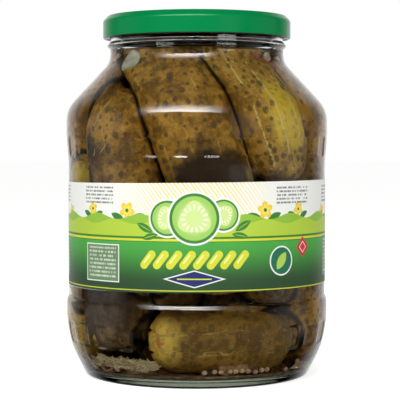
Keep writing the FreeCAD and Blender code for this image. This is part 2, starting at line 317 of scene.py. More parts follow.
class Finish:
    """A material, or the surround, while its nodes are made."""

    def __init__(self, name, surround=False):
        self.last = "ShaderNodeOutputWorld" if surround else "ShaderNodeOutputMaterial"
        self.material = (bpy.data.worlds if surround else bpy.data.materials).new(name)
        self.material.use_nodes = True
        self.tree = self.material.node_tree
        self.tree.nodes.clear()

    def node(self, kind, settings=None, sockets=None, out=0):
        """Adds a node, sets it up, fills or links its sockets, and returns one of its outputs."""
        made = self.tree.nodes.new(kind)
        for name, setting in (settings or {}).items():
            setattr(made, name, setting)
        for name, value in (sockets or {}).items():
            socket = made.inputs[name]
            if isinstance(value, Value):
                self.tree.links.new(value.socket, socket)
            elif hasattr(value, "__len__") and len(value) == 3 and socket.type == "RGBA":
                socket.default_value = (*value, 1.0)
            else:
                socket.default_value = value
        return Value(self, made.outputs[out]) if made.outputs else None

    def several(self, kind, outs, sockets=None):
        """Adds a node and returns more than one of its outputs."""
        outputs = self.node(kind, sockets=sockets).socket.node.outputs
        return [Value(self, outputs[out]) for out in outs]

    def place(self):
        return self.node("ShaderNodeTexCoord", out="Object")

    def parts(self, vector):
        """The X, Y and Z of a vector."""
        return self.several("ShaderNodeSeparateXYZ", "XYZ", {"Vector": vector})

    def attribute(self, name):
        return self.node("ShaderNodeAttribute", {"attribute_name": name}, out="Fac")

    def noise(self, vector, scale, detail=2.0, roughness=0.5, distortion=0.0):
        sockets = {
            "Vector": vector,
            "Scale": scale,
            "Detail": detail,
            "Roughness": roughness,
            "Distortion": distortion,
        }
        return self.node("ShaderNodeTexNoise", sockets=sockets)

    def mix(self, share, first, second):
        settings = {"data_type": "RGBA"}
        return self.node("ShaderNodeMix", settings, {0: share, 6: first, 7: second}, out=2)

    def bump(self, height, depth, strength=1.0):
        sockets = {"Height": height, "Distance": depth, "Strength": strength}
        return self.node("ShaderNodeBump", sockets=sockets)

    def end(self, **shaders):
        """Ends the tree in a shader for the Surface and perhaps another for the Volume."""
        self.node(self.last, sockets=shaders)
        return self.material

    def surface(self, **looks):
        """Ends the tree in a Principled shader. Names are its sockets', with _ for a space."""
        sockets = {name.replace("_", " "): value for name, value in looks.items()}
        return self.end(Surface=self.node("ShaderNodeBsdfPrincipled", sockets=sockets))


def clear_glass(name, glint):
    """Clear glass, a little greenish grey in the thick foot, with more or less mirror on it."""
    finish = Finish(name)
    _, _, height = finish.parts(finish.place())
    colour = finish.mix((height / MM).rise(7.0, 3.0), (0.98, 1.0, 0.99), (0.26, 0.30, 0.23))
    return finish.surface(
        Base_Color=colour,
        Roughness=0.0,
        IOR=1.5,
        Transmission_Weight=1.0,
        Specular_Tint=(glint, glint, glint),
    )


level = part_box("brine")[1].z / MM
jar_glass.data.materials.append(clear_glass("jar_glass", 1.0))
jar_glass.data.materials.append(clear_glass("jar_glass_wet", 0.07))
for face in jar_glass.data.polygons:
    inward = face.normal.dot(face.center - Vector((0, 0, rim_height / 2 * MM))) < 0
    face.material_index = int(inward and face.center.z < level * MM)
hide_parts("jar")
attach(jar_glass, "root")

# --- Brine --------------------------------------------------------------------------------
# Vinegar, sugar and salt in water, stained amber by the gherkins. It wets the glass, so the
# piece reaches a hair into the wall and its surface climbs a little at the edge.
into_wall = 0.25
meniscus = 1.0
surface = level - meniscus
brine_line = rounded(cavity(into_wall) + [(0, rim_height, 0)], 8.0, 3.0)
brine_line = [p for p in filled_in(brine_line, 5.0) if p.y < level]
edge = brine_line[-1].x
for inward, drop in ((0, 0), (1.2, 0.5), (3, 0.9), (6, meniscus)):
    brine_line.append(Vector((edge - inward, level - drop)))
brine_line.append(Vector((0, surface)))
brine = lathe("brine_filling", brine_line, 160)
amber = Finish("brine")
stain = amber.node("ShaderNodeVolumeAbsorption", sockets={"Color": (0.80, 0.66, 0.30), "Density": 20.0})
pickling_water = {
    "Base Color": (1.0, 0.98, 0.93),
    "Roughness": 0.0,
    "IOR": 1.34,
    "Transmission Weight": 1.0,
    "Specular Tint": (0.12, 0.12, 0.12),
}
amber_face = amber.node("ShaderNodeBsdfPrincipled", sockets=pickling_water)
brine.data.materials.append(amber.end(Surface=amber_face, Volume=stain))
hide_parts("brine")
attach(brine, "root")

# --- Gherkins -----------------------------------------------------------------------------
# Whole pickled gherkins, packed in by hand: blunt-ended, faintly three-sided, wrinkled and
# set with warts, each with a dark pore. They press against the glass and each other.
def around(turn, away, up):
    """A place given by its turn to the right of the front, distance off the axis, and height."""
    return Vector((away * math.sin(math.radians(turn)), -away * math.cos(math.radians(turn)), up))


# the glass's inner face without its floor
wall_line = rounded(cavity() + [(0, rim_height, 0)], 6.0, 3.0)
wall_line = [p for p in wall_line if p.x > 50 or p.y > 20]
wall_heights = [p.y for p in wall_line[:-1]]
wall_reaches = [p.x for p in wall_line[:-1]]


def pressed_in(places, clearance=1.2, softness=2.5):
    """Places kept inside the glass and under the brine: what would poke through is flattened."""
    away = np.hypot(places[:, 0], places[:, 1])
    room = np.interp(places[:, 2], wall_heights, wall_reaches) - clearance
    spare = np.clip((room - away) / softness, -3, 30)
    kept = room - softness * np.log1p(np.exp(spare))
    kept = np.where(spare < 25, kept, away)
    inside = places * np.minimum(kept / np.maximum(away, 1e-6), 1.0)[:, None]
    inside[:, 2] = np.minimum(places[:, 2], surface - 0.2)
    return inside


def press(mesh, *limits):
    """Presses a finished piece's mesh inside the glass."""
    place_mesh(mesh, pressed_in(mesh_places(mesh), *limits))


def crumple(piece, title, grain, depth, **settings):
    """Pushes a piece's skin in and out in cloudy lumps, their grain and depth in millimetres."""
    lumps = bpy.data.textures.new(f"{piece.name}_{title}", "CLOUDS")
    lumps.noise_scale = grain * MM
    relief = piece.modifiers.new(title, "DISPLACE")
    relief.texture = lumps
    relief.strength = depth * MM
    for setting, value in settings.items():
        setattr(relief, setting, value)
    bpy.ops.object.modifier_apply(modifier=title)


def settle(piece, name, finish):
    """Ends a piece: freezes its place, smooths it and gives it its finish."""
    bpy.ops.object.transform_apply(location=True, rotation=True, scale=True)
    bpy.ops.object.shade_smooth()
    piece.name = piece.data.name = name
    piece.data.materials.append(finish)
    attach(piece, "root")


# of each gherkin: the piece, the places of its skin, and the places and girths along its middle
cores = []


def nooks():
    """Gives each gherkin the distance of its skin from its neighbours, for the painted shade between
    them.
    """
    farthest = 9.0
    for piece, skin, _, _ in cores:
        gaps = np.full(len(skin), farthest)
        for other, _, middle, girth in cores:
            if other is piece:
                continue
            apart = np.linalg.norm(skin[:, None, :] - middle[None, :, :], axis=2) - girth[None, :]
            gaps = np.minimum(gaps, np.abs(apart.min(axis=1)))
        layer = piece.data.attributes.new("nook", "FLOAT", "POINT")
        layer.data.foreach_set("value", gaps.astype(np.float32))


def gherkin(name, spine, thickness, seed, finish, patches=(), fine=1.0):
    """A gherkin along a bow through three places, in millimetres, from foot to head.

    Each patch is a place, its reach and how pale (up to 1) or dark (down to -1) the skin is.
    """
    draw = random.Random(seed)
    foot_end, belly, head_end = spine
    radius = thickness / 2
    length = (belly - foot_end).length + (head_end - belly).length
    mesh_step = 1.25
    rings = round(length / mesh_step * fine)
    segments = round(2 * math.pi * radius / mesh_step * fine)
    ball = bpy.ops.mesh.primitive_uv_sphere_add
    piece = fresh(ball, segments=segments, ring_count=rings, radius=1.0)
    mesh = piece.data
    unit = mesh_places(mesh, 1.0)
    angle = np.arctan2(unit[:, 1], unit[:, 0])
    march = 1 - np.arccos(np.clip(unit[:, 2], -1, 1)) / math.pi

    cap = radius * 0.95
    straight = length - 2 * cap
    quarter = cap * math.pi / 2
    run = march * (straight + 2 * quarter)
    first = np.clip(run / quarter, 0, 1) * math.pi / 2
    last = np.clip((run - quarter - straight) / quarter, 0, 1) * math.pi / 2
    along = cap * (1 - np.cos(first)) + np.clip(run - quarter, 0, straight) + cap * np.sin(last)
    tilt = last - (math.pi / 2 - first)
    girth = radius * np.sin(first) ** 0.92 * np.cos(last) ** 0.92
    share = along / length
    girth *= 1 - 0.10 * (2 * share - 1 + draw.uniform(-0.25, 0.25)) ** 2
    lobe = draw.uniform(0, 2 * math.pi)
    girth *= 1 + 0.022 * np.cos(3 * angle + lobe) + 0.012 * np.cos(2 * angle + lobe * 2.3)

    control = 2 * belly - (foot_end + head_end) / 2
    ends = [np.array(p) for p in (foot_end, control, head_end)]
    t = share[:, None]
    middle = (1 - t) ** 2 * ends[0] + 2 * t * (1 - t) * ends[1] + t * t * ends[2]
    heading = 2 * (1 - t) * (ends[1] - ends[0]) + 2 * t * (ends[2] - ends[1])
    heading /= np.linalg.norm(heading, axis=1)[:, None]
    bow = np.array((head_end - foot_end).cross(belly - foot_end))
    if np.linalg.norm(bow) < 1:
        bow = np.array((head_end - foot_end).orthogonal())
    bow /= np.linalg.norm(bow)
    side = np.cross(heading, bow)
    side /= np.linalg.norm(side, axis=1)[:, None]
    outward = side * np.cos(angle)[:, None] + np.cross(heading, side) * np.sin(angle)[:, None]
    skin = middle + outward * girth[:, None]
    normal = outward * np.cos(tilt)[:, None] + heading * np.sin(tilt)[:, None]

    warts = [skin[0]]
    tries = 2600
    for _ in range(tries):
        at = skin[draw.randrange(len(skin))]
        if np.linalg.norm(np.array(warts) - at, axis=1).min() > 3.0 + 2.0 * draw.random():
            warts.append(at)
    heights = np.array([draw.uniform(0.2, 0.55) for _ in warts])
    sizes = np.array([draw.uniform(0.35, 0.85) for _ in warts])
    tree = KDTree(len(warts))
    for number, wart in enumerate(warts):
        tree.insert(wart, number)
    tree.balance()
    found = [tree.find(place) for place in skin]
    nearest = np.array([number for _, number, _ in found])
    reach = np.array([off for _, _, off in found]) / sizes[nearest]
    bump = heights[nearest] * np.exp(-((reach / 2.0) ** 2)) - 0.2 * np.exp(-((reach / 0.8) ** 2))
    skin = skin + normal * bump[:, None]
    place_mesh(mesh, skin)

    ripe = np.zeros(len(skin))
    for place, spread, amount in patches:
        off = np.linalg.norm(skin - np.array(around(*place)), axis=1)
        ripe += amount * np.clip(1.4 - off / spread, 0, 1)
    ribs = (angle / (2 * math.pi) * 9 + lobe + 0.12 * np.sin(share * 7 + lobe)) % 1
    ribs = np.abs(ribs - 0.5) * 2 * girth * math.pi / 9
    for title, values in (("wart", reach), ("ripe", ripe), ("rib", ribs)):
        layer = mesh.attributes.new(title, "FLOAT", "POINT")
        layer.data.foreach_set("value", values.astype(np.float32))
    crumple(piece, "lumps", 11.0, 1.1, texture_coords="GLOBAL")
    crumple(piece, "wrinkles", 3.2, 0.3, texture_coords="GLOBAL")
    press(mesh)
    few = np.argsort(share)[:: max(1, len(share) // 60)]
    cores.append((piece, mesh_places(mesh), middle[few], girth[few]))
    settle(piece, name, finish)


def gherkin_skin(name, dull, bright, pore, vein, pale, dark, speck=None):
    """Olive to golden skin with grey pored warts, pale lines where ripe, perhaps red specks, and
    painted shade next to other gherkins.
    """
    skin = Finish(name)
    at = skin.place()
    wart = skin.attribute("wart")
    ripe = skin.attribute("ripe")
    rib = skin.attribute("rib")
    nook = skin.attribute("nook")
    cloud = skin.noise(at, 60.0, 3.0, 0.55)
    mottle = skin.noise(at, 210.0, 4.0, 0.6)
    fleck = skin.noise(at, 700.0, 3.0, 0.6)
    colour = skin.mix((cloud * 0.6 + mottle * 0.5).rise(0.44, 0.66), dull, bright)
    colour = skin.mix((ripe + (cloud - 0.5) * 0.9).rise(0.1, 0.9), colour, pale)
    shade = (ripe + (cloud - 0.5) * 1.2 + (mottle - 0.5) * 0.5).rise(0.0, -0.8)
    colour = skin.mix(shade, colour, dark)
    winding = skin.noise(at, 150.0, 2.0, 0.5, 0.8)
    lit = 1.0 - shade * 0.95
    if speck:
        spots = skin.noise(at, 190.0, 3.0, 0.6, 0.4).rise(0.54, 0.62) * ripe.rise(0.45, 0.9)
        colour = skin.mix(spots * 0.75, colour, speck)
    threads = (winding - 0.5).size().rise(0.06, 0.0) * (cloud + fleck * 0.4).rise(0.56, 0.8)
    colour = skin.mix(threads * lit * 0.3, colour, bright)
    grown = (cloud + mottle * 0.3).rise(0.64, 0.72).most(ripe.rise(0.15, 0.6))
    stripes = (rib + (mottle - 0.5) * 0.7).rise(0.75, 0.25) * grown
    colour = skin.mix(stripes * lit * 0.85, colour, vein)
    edge = wart + (mottle - 0.5) * 1.5 + (fleck - 0.5) * 1.0
    faint = cloud.rise(0.3, 0.52) * (1.0 - ripe.rise(0.3, 0.9) * 0.75) * lit
    deep = [c * 0.45 for c in pore]
    colour = skin.mix(edge.rise(2.5, 1.7) * faint * 0.7, colour, pore)
    colour = skin.mix((edge - 1.45).size().rise(0.45, 0.1) * faint * 0.45, colour, deep)
    colour = skin.mix(edge.rise(0.85, 0.45) * faint * 0.6, colour, deep)
    colour = skin.mix(fleck.rise(0.56, 0.70) * faint * 0.65, colour, pore)
    colour = skin.mix(fleck.rise(0.42, 0.32) * lit * 0.45, colour, vein)
    # painted shade: the skin goes near black where it lies within a few millimetres of another gherkin
    buried = (nook + (mottle - 0.5) * 1.6).rise(2.3, 0.5) * 0.92
    colour = skin.mix(buried, colour, (0.012, 0.008, 0.004))
    relief = mottle * 0.6 + fleck * 0.25
    return skin.surface(
        Base_Color=colour,
        Roughness=0.5,
        Normal=skin.bump(relief, 0.6 * MM, 0.7),
        Specular_IOR_Level=0.25,
    )


olive = gherkin_skin(
    "gherkin_olive",
    dull=(0.24, 0.115, 0.02),
    bright=(0.66, 0.36, 0.055),
    pore=(0.15, 0.10, 0.055),
    vein=(0.85, 0.50, 0.09),
    pale=(0.80, 0.50, 0.13),
    dark=(0.055, 0.028, 0.011),
)
golden = gherkin_skin(
    "gherkin_golden",
    dull=(0.34, 0.175, 0.03),
    bright=(0.70, 0.40, 0.065),
    pore=(0.17, 0.11, 0.055),
    vein=(1.0, 0.84, 0.26),
    pale=(1.0, 0.70, 0.07),
    dark=(0.12, 0.06, 0.022),
)
yellow = gherkin_skin(
    "gherkin_yellow",
    dull=(0.20, 0.11, 0.03),
    bright=(0.42, 0.24, 0.05),
    pore=(0.22, 0.14, 0.05),
    vein=(0.66, 0.47, 0.13),
    pale=(0.95, 0.67, 0.13),
    dark=(0.12, 0.07, 0.025),
    speck=(0.62, 0.17, 0.09),
)
brown = gherkin_skin(
    "gherkin_brown",
    dull=(0.15, 0.09, 0.04),
    bright=(0.31, 0.19, 0.08),
    pore=(0.08, 0.055, 0.04),
    vein=(0.42, 0.27, 0.10),
    pale=(0.85, 0.62, 0.16),
    dark=(0.06, 0.035, 0.02),
)

packing = [
    # name, foot, belly, head, thickness, skin, patches
    ("gherkin_front", (9, 42, 45), (5, 43.5, 104), (-62, 32, 172), 37.5, olive,
     [((7, 62, 92), 21, -1.3), ((-32, 46, 152), 16, 0.35)]),
    ("gherkin_left_front", (-26, 43, 48), (-40.5, 43.5, 92), (-56, 41, 135.5), 34.5, olive,
     [((-52, 62, 130), 12, -0.35), ((-60, 62, 112), 12, -0.5), ((-35, 62, 100), 12, 0.2)]),
    # on this gherkin the pale middle is partly its golden skin and partly a painted highlight, and the
    # dark patches at either side are painted shade
    ("gherkin_right_front", (53, 44.5, 97), (44, 43, 127), (14, 25, 170), 31.5, golden,
     [((52, 62, 125), 12, 1.35), ((44, 62, 137), 11, 0.8), ((40, 62, 122), 9, 0.5),
      ((50, 62, 103), 9, 0.3), ((72, 58, 112), 12, -0.35), ((30, 55, 110), 10, -0.3)]),
    ("gherkin_right", (92, 44, 66), (92, 44, 112), (80, 30, 158), 35.0, olive, []),
    ("gherkin_left", (-96, 44, 44), (-96, 44, 103), (-82, 31, 164), 35.0, olive, []),
    ("gherkin_left_end", (-77, 49, 36), (-76, 50.5, 76), (-72, 51, 107), 23.0, golden,
     [((-74, 62, 98), 17, 1.4)]),
    ("gherkin_back_right", (140, 43, 60), (138, 43.5, 107), (138, 27, 158), 36.0, olive, []),
    ("gherkin_back_left", (-144, 43, 62), (-142, 43.5, 108), (-138, 27, 157), 35.0, golden, []),
    ("gherkin_back", (178, 44, 84), (179, 43, 118), (175, 16, 159), 31.0, brown, []),
    ("gherkin_middle", (0, 4, 50), (90, 4, 100), (180, 3, 150), 34.0, brown, []),
    ("gherkin_floor_front", (-27, 45.5, 23), (12, 37.5, 23), (58, 48, 22), 30.0, yellow,
     [((-26, 60, 22), 17, 1.4), ((8, 60, 29), 13, -0.45)]),
    ("gherkin_floor_left", (-76, 50, 26), (-118, 38, 24), (-165, 46, 23), 29.0, yellow,
     [((-80, 62, 26), 18, 1.5)]),
    ("gherkin_low_left", (-50, 42, 17), (-53, 42.5, 45), (-56, 42, 76), 33.0, brown,
     [((-50, 62, 40), 20, -0.5)]),
    ("gherkin_low_right", (84, 43, 14), (76, 44, 45), (74, 43, 82), 34.0, olive,
     [((60, 60, 28), 12, 0.2)]),
    ("gherkin_ledge_right", (48, 43, 39), (42, 43.5, 64), (44, 43, 90), 31.0, brown, []),
    ("gherkin_low_back", (128, 43, 12), (126, 44, 40), (122, 43, 72), 34.0, olive, []),
    ("gherkin_low_back_left", (-160, 42, 42), (-150, 44, 60), (-146, 43, 80), 30.0, brown, []),
    ("gherkin_low_middle", (40, 6, 10), (20, 5, 40), (0, 4, 78), 33.0, brown, []),
    ("gherkin_low_inner", (-30, 22, 34), (-22, 27, 56), (-20, 26, 84), 27.0, brown, []),
    ("gherkin_floor_middle", (-75, 24, 22), (0, 12, 22), (75, 22, 22), 27.0, brown, []),
    ("gherkin_floor_behind", (105, 36, 21), (160, 24, 21), (-140, 34, 21), 27.0, brown, []),
    ("gherkin_floor_back", (165, 44, 24), (150, 42, 40), (170, 43, 70), 30.0, olive, []),
]
for seed, (name, *places, thickness, skin, patches) in enumerate(packing, 41):
    spine = [around(*place) for place in places]
    fine = 1.6 if "front" in name else 1.0
    gherkin(name, spine, thickness, seed, skin, patches, fine)
nooks()


# --- Garlic, chilli, onion and dill -------------------------------------------------------
# What seasons the brine. Garlic, chilli and onion float up under the lid. Dill, onion and
# seeds have sunk to the floor and lie there in a brown sediment.
def plain(name, colour, spots, roughness=0.5, grain=420.0):
    """A finish of one colour, clouded with a second."""
    finish = Finish(name)
    cloud = finish.noise(finish.place(), grain, 4.0, 0.6).rise(0.4, 0.65)
    both = finish.mix(cloud, colour, spots)
    relief = finish.noise(finish.place(), grain * 2.5, 3.0)
    return finish.surface(
        Base_Color=both,
        Roughness=roughness,
        Normal=finish.bump(relief, 0.3 * MM, 0.6),
        Specular_IOR_Level=0.3,
    )


# small bits may lie this close to the glass, and are flattened this softly, in millimetres
close = (0.3, 0.8)


def morsel(name, place, sizes, turns, finish, taper=0.0, rough=0.0, grain=4.0):
    """A rounded bit at a place, with its three sizes in millimetres and its turns in degrees."""
    bit = fresh(bpy.ops.mesh.primitive_uv_sphere_add, segments=32, ring_count=24, radius=0.5)
    bit.scale = [size * MM for size in sizes]
    bpy.ops.object.transform_apply(scale=True)
    if taper:
        narrow = bit.modifiers.new("taper", "SIMPLE_DEFORM")
        narrow.deform_method = "TAPER"
        narrow.deform_axis = "Z"
        narrow.factor = taper
        bpy.ops.object.modifier_apply(modifier="taper")
    if rough:
        crumple(bit, "relief", grain, rough)
    bit.rotation_euler = [math.radians(turn) for turn in turns]
    bit.location = around(*place) * MM
    bpy.ops.object.transform_apply(location=True, rotation=True)
    press(bit.data, *close)
    settle(bit, name, finish)


garlic = plain("garlic", (0.80, 0.80, 0.62), (0.60, 0.62, 0.46), 0.4, 300.0)
chilli = plain("chilli", (0.60, 0.20, 0.08), (0.30, 0.08, 0.04), 0.35, 500.0)
onion = plain("onion", (0.85, 0.76, 0.60), (0.62, 0.46, 0.34), 0.45, 350.0)
morsel("garlic_clove", (-49, 41.5, 153.0), (10.0, 5.0, 14.5), (8, 34, -50), garlic, 0.45, 0.5)
morsel("garlic_clove_behind", (150, 35, 156.5), (8, 5, 12), (70, 20, 30), garlic, 0.5, 0.5)
morsel("chilli_strip", (47, 40.2, 154.4), (3.6, 2.0, 13), (0, -52, 49), chilli, 0.3, 0.7)
morsel("chilli_strip_thin", (58, 41.2, 151.6), (2.6, 1.6, 9), (0, -70, 60), chilli, 0.3, 0.6)
morsel("onion_cube", (56, 39.2, 156.2), (5.8, 4.4, 5.4), (20, 30, 40), onion, 0.2, 1.0)
morsel("onion_cube_right", (72, 38, 155.0), (4.6, 3.8, 5.2), (50, 10, 10), onion, 0.2, 1.0)
morsel("onion_left", (-70, 38, 156), (5, 3, 7), (30, 30, 10), onion, 0.3, 1.0)

heap_foot = 6.4
floor_line = rounded(cavity(-0.3) + [(0, rim_height, 0)], 8.0, 3.0)
floor_line = [p for p in floor_line if p.y < heap_foot]
heap = [(floor_line[-1].x, heap_foot), (44, 7.0), (34, 10.0), (0, 13.0)]
floor_line = filled_in(floor_line + [Vector(place) for place in heap], 2.2)
sediment = lathe("sediment", floor_line, 120)
top_face = sediment.vertex_groups.new(name="top")
top_face.add([v.index for v in sediment.data.vertices if v.co.z > 6.3 * MM], 1.0, "REPLACE")
crumple(sediment, "heave", 7.0, 2.4, direction="Z", vertex_group="top")
settle(sediment, "sediment", plain("sediment", (0.34, 0.22, 0.13), (0.62, 0.42, 0.26), 0.7, 260.0))


def sprigs(name, count, turns, aways, ups, length, thickness, finish, seed):
    """Fine bowed threads strewn between two turns, distances off the axis and heights."""
    draw = random.Random(seed)
    tangle = bpy.data.curves.new(name, "CURVE")
    tangle.dimensions = "3D"
    tangle.bevel_depth = thickness / 2 * MM
    tangle.bevel_resolution = 1
    tangle.resolution_u = 3
    tangle.use_fill_caps = True
    for _ in range(count):
        middle = around(draw.uniform(*turns), draw.uniform(*aways), draw.uniform(*ups))
        way = Vector((draw.gauss(0, 1), draw.gauss(0, 1), draw.gauss(0, 0.35))).normalized()
        bow = way.cross(Vector((0, 0, 1))) * draw.uniform(-0.3, 0.3)
        reach = length * draw.uniform(0.6, 1.2)
        thread = tangle.splines.new("BEZIER")
        thread.bezier_points.add(2)
        for knot, (on, off) in zip(thread.bezier_points, ((-0.5, 0), (0, 1), (0.5, 0))):
            at = middle + way * reach * on + bow * reach * off
            away = math.hypot(at.x, at.y)
            limit = min(1.0, (aways[1] + 1.5) / away)
            knot.co = Vector((at.x * limit, at.y * limit, max(at.z, ups[0] - 0.5))) * MM
            knot.handle_left_type = knot.handle_right_type = "AUTO"
    held = bpy.data.objects.new(name, tangle)
    bpy.context.scene.collection.objects.link(held)
    bpy.ops.object.select_all(action="DESELECT")
    held.select_set(True)
    bpy.context.view_layer.objects.active = held
    bpy.ops.object.convert(target="MESH")
    settle(bpy.context.object, name, finish)


dill_pale = plain("dill_pale", (1.0, 0.88, 0.62), (0.80, 0.68, 0.44), 0.6)
dill_brown = plain("dill_brown", (0.34, 0.20, 0.10), (0.17, 0.10, 0.05), 0.6)
stem = plain("dill_stem", (0.72, 0.58, 0.26), (0.60, 0.46, 0.18), 0.5)
sprigs("dill_tuft", 420, (-62, -21), (48.0, 52.5), (9.8, 13.8), 4.5, 0.45, dill_pale, 7)
sprigs("dill_brown_front", 110, (4, 56), (43, 48), (6.8, 10.5), 6.0, 0.55, dill_brown, 8)
sprigs("dill_brown_left", 80, (-90, -20), (46, 51), (6.8, 9.5), 7.0, 0.5, dill_brown, 9)
sprigs("dill_floating", 260, (0, 360), (28, 38.5), (156.8, 159.4), 8.0, 0.6, dill_brown, 11)
sprigs("dill_brown_back", 150, (75, 255), (40, 51), (6.8, 11.0), 7.0, 0.55, dill_brown, 10)


def stalk(name, places, thickness, finish):
    """A dill stalk through the places, rounded at each."""
    held = fresh(bpy.ops.curve.primitive_bezier_curve_add)
    thread = held.data.splines[0]
    thread.bezier_points.add(len(places) - 2)
    for knot, place in zip(thread.bezier_points, places):
        knot.co = around(*place) * MM
        knot.handle_left_type = knot.handle_right_type = "AUTO"
    held.data.bevel_depth = thickness / 2 * MM
    held.data.bevel_resolution = 2
    held.data.use_fill_caps = True
    bpy.ops.object.convert(target="MESH")
    bpy.ops.object.transform_apply(location=True, rotation=True, scale=True)
    press(bpy.context.object.data, *close)
    settle(bpy.context.object, name, finish)


stalk("stalk_upper", [(-42.3, 60.6, 134), (-46, 61, 130), (-51, 61, 123.2)], 0.45, stem)
stalk("stalk_middle", [(-41.6, 60.6, 116.4), (-44, 60.8, 114), (-47.6, 60.6, 110.6)], 0.4, stem)
stalk("stalk_short", [(-52, 60.5, 112.5), (-52.4, 60.6, 109)], 0.4, stem)
stalk("stalk_floor", [(-69, 60, 20), (-63, 60, 17.5), (-62, 57, 12), (-60, 54, 7.5)], 0.9, dill_pale)


def balls(name, places, finish):
    """Small balls, each with its place and radius in millimetres, joined into one piece."""
    made = []
    for place, radius in places:
        at = around(*place) * MM
        ball = bpy.ops.mesh.primitive_uv_sphere_add
        made.append(fresh(ball, segments=12, ring_count=8, radius=radius * MM, location=at))
    for one in made:
        one.select_set(True)
    bpy.ops.object.join()
    settle(bpy.context.object, name, finish)


draw = random.Random(3)
seed_places = [(4, 51), (9, 51.5), (12.5, 50.5), (17, 51.7), (20, 51), (23.5, 51.6), (27, 51)]
seed_places += [(31, 51.6), (35, 51), (38, 51.5), (-26, 51), (-44, 51.4), (-62, 51), (52, 51)]
seed_places += [(60, 50.5)]
seed_places += [(draw.uniform(70, 290), draw.uniform(38, 50)) for _ in range(24)]
seeds = [((turn, away, draw.uniform(7.9, 9.1)), 1.25) for turn, away in seed_places]
seed_coat = plain("mustard_seed", (0.95, 0.74, 0.54), (0.80, 0.50, 0.32), 0.45, 600.0)
balls("mustard_seeds", seeds, seed_coat)

onion_brown = plain("onion_brown", (0.62, 0.38, 0.20), (0.36, 0.21, 0.12), 0.5, 300.0)
ring = {"major_radius": 3.6 * MM, "minor_radius": 1.1 * MM, "major_segments": 36, "minor_segments": 14}
onion_ring = fresh(bpy.ops.mesh.primitive_torus_add, **ring)
onion_ring.scale = (1, 0.8, 1.5)
onion_ring.rotation_euler = (math.radians(68), 0, math.radians(-48))
onion_ring.location = around(-51, 50.5, 9.8) * MM
settle(onion_ring, "onion_ring", onion_brown)


def shred(name, place, sizes, turns, finish, depth, grain):
    """A thin crumpled strip of onion skin or leaf."""
    strip = fresh(bpy.ops.mesh.primitive_grid_add, x_subdivisions=28, y_subdivisions=16, size=1)
    strip.scale = (sizes[0] * MM, sizes[1] * MM, 1)
    bpy.ops.object.transform_apply(scale=True)
    strip.location = around(*place) * MM
    strip.rotation_euler = [math.radians(turn) for turn in turns]
    crumple(strip, "folds", grain, depth, texture_coords="GLOBAL")
    body = strip.modifiers.new("body", "SOLIDIFY")
    body.thickness = 0.4 * MM
    bpy.ops.object.modifier_apply(modifier="body")
    settle(strip, name, finish)


dill_mat = plain("dill_mat", (0.95, 0.82, 0.58), (0.45, 0.34, 0.20), 0.7, 1500.0)
shred("dill_mat_left", (-51, 50.5, 12.4), (16, 5), (62, 10, -51), dill_mat, 5.0, 2.2)
shred("dill_mat_middle", (-35, 50.5, 11.4), (16, 5), (66, 6, -35), dill_mat, 5.0, 2.2)
shred("onion_shred_low", (-31, 50.0, 8.8), (12, 4), (60, 0, -31), onion_brown, 3.0, 4.0)
shred("leaf_front", (20, 48.5, 10.5), (13, 6), (55, -14, 20), onion_brown, 3.5, 4.0)
shred("leaf_front_right", (34, 48.5, 10.0), (12, 5), (60, 12, 34), dill_brown, 3.5, 4.0)
shred("leaf_right", (72, 48.5, 9.6), (14, 6), (60, 8, 72), onion_brown, 3.0, 4.0)

bubble_wall = Finish("bubble")
bubble_air = bubble_wall.surface(Base_Color=(1, 1, 1), Roughness=0.0, IOR=0.75, Transmission_Weight=1.0)
bubbles = []
for _ in range(60):
    place = (draw.uniform(-50, 30), draw.uniform(36.5, 39.4), draw.uniform(158.8, 159.7))
    bubbles.append((place, draw.uniform(0.15, 0.5)))
balls("bubbles", bubbles, bubble_air)

# --- Lid ----------------------------------------------------------------------------------
# Tinplate, pressed and enamelled green, with its edge curled and lugs turned in under the
# glass thread. Inside, behind the skirt and under the panel and its button, it is painted
# dark brown as shade.
enamel = Finish("lid_enamel")
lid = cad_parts["lid"]
lid.data.materials.clear()
lid_x, lid_y, lid_z = enamel.parts(enamel.place())
reach = (lid_x * lid_x + lid_y * lid_y) ** 0.5 / MM
up = lid_z / MM
skirt_inside, skirt_top = 46.55, 174.85
panel_edge, panel_underside = 42.95, 176.45
button_edge, button_underside = 13.05, 175.75
under_skirt = reach.under(skirt_inside, 0.03) * up.under(skirt_top, 0.05)
under_panel = reach.rise(button_edge - 0.05, button_edge + 0.05) * up.under(panel_underside, 0.01)
under_button = up.under(button_underside, 0.01)
under_top = reach.under(panel_edge, 0.05) * under_panel.most(under_button)
# painted shade: the inside of the skirt and the underside of the top are coloured near black
lacquered = under_skirt.most(under_top)
orange_peel = enamel.noise(enamel.place(), 700.0, 2.0)
lid.data.materials.append(
    enamel.surface(
        Base_Color=enamel.mix(lacquered, (0.0, 0.213, 0.058), (0.03, 0.02, 0.012)),
        Roughness=0.22,
        Normal=enamel.bump(orange_peel, 0.02 * MM, 0.4),
        Specular_IOR_Level=0.2,
    )
)

# --- Label --------------------------------------------------------------------------------
# Coated paper, printed in flat inks and pasted round the jar's straight band, with a strip
# of glass left bare at the back.
paper = Finish("label_paper")
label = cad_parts["label"]
label_low, label_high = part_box("label")
label_height = (label_high.z - label_low.z) / MM
x, y, z = paper.parts(paper.place())
u = x.bearing(y * -1.0) * (label_high.x / MM)
v = (z - label_low.z) / MM
grain = paper.noise(paper.place(), 900.0, 3.0)


def inked(print_so_far, mask, ink):
    return paper.mix(mask, print_so_far, ink)


def within(value, low, high, soft=0.12):
    """1 between two values, with a printed edge's softness."""
    return (value - (low + high) / 2).size().under((high - low) / 2, soft)


def disc(across, up, reach, soft=0.15):
    """A mask for a disc about u=across, v=up, and the distances from its middle."""
    du = u - across
    dv = v - up
    off = (du * du + dv * dv) ** 0.5
    return off.under(reach, soft), off, du, dv


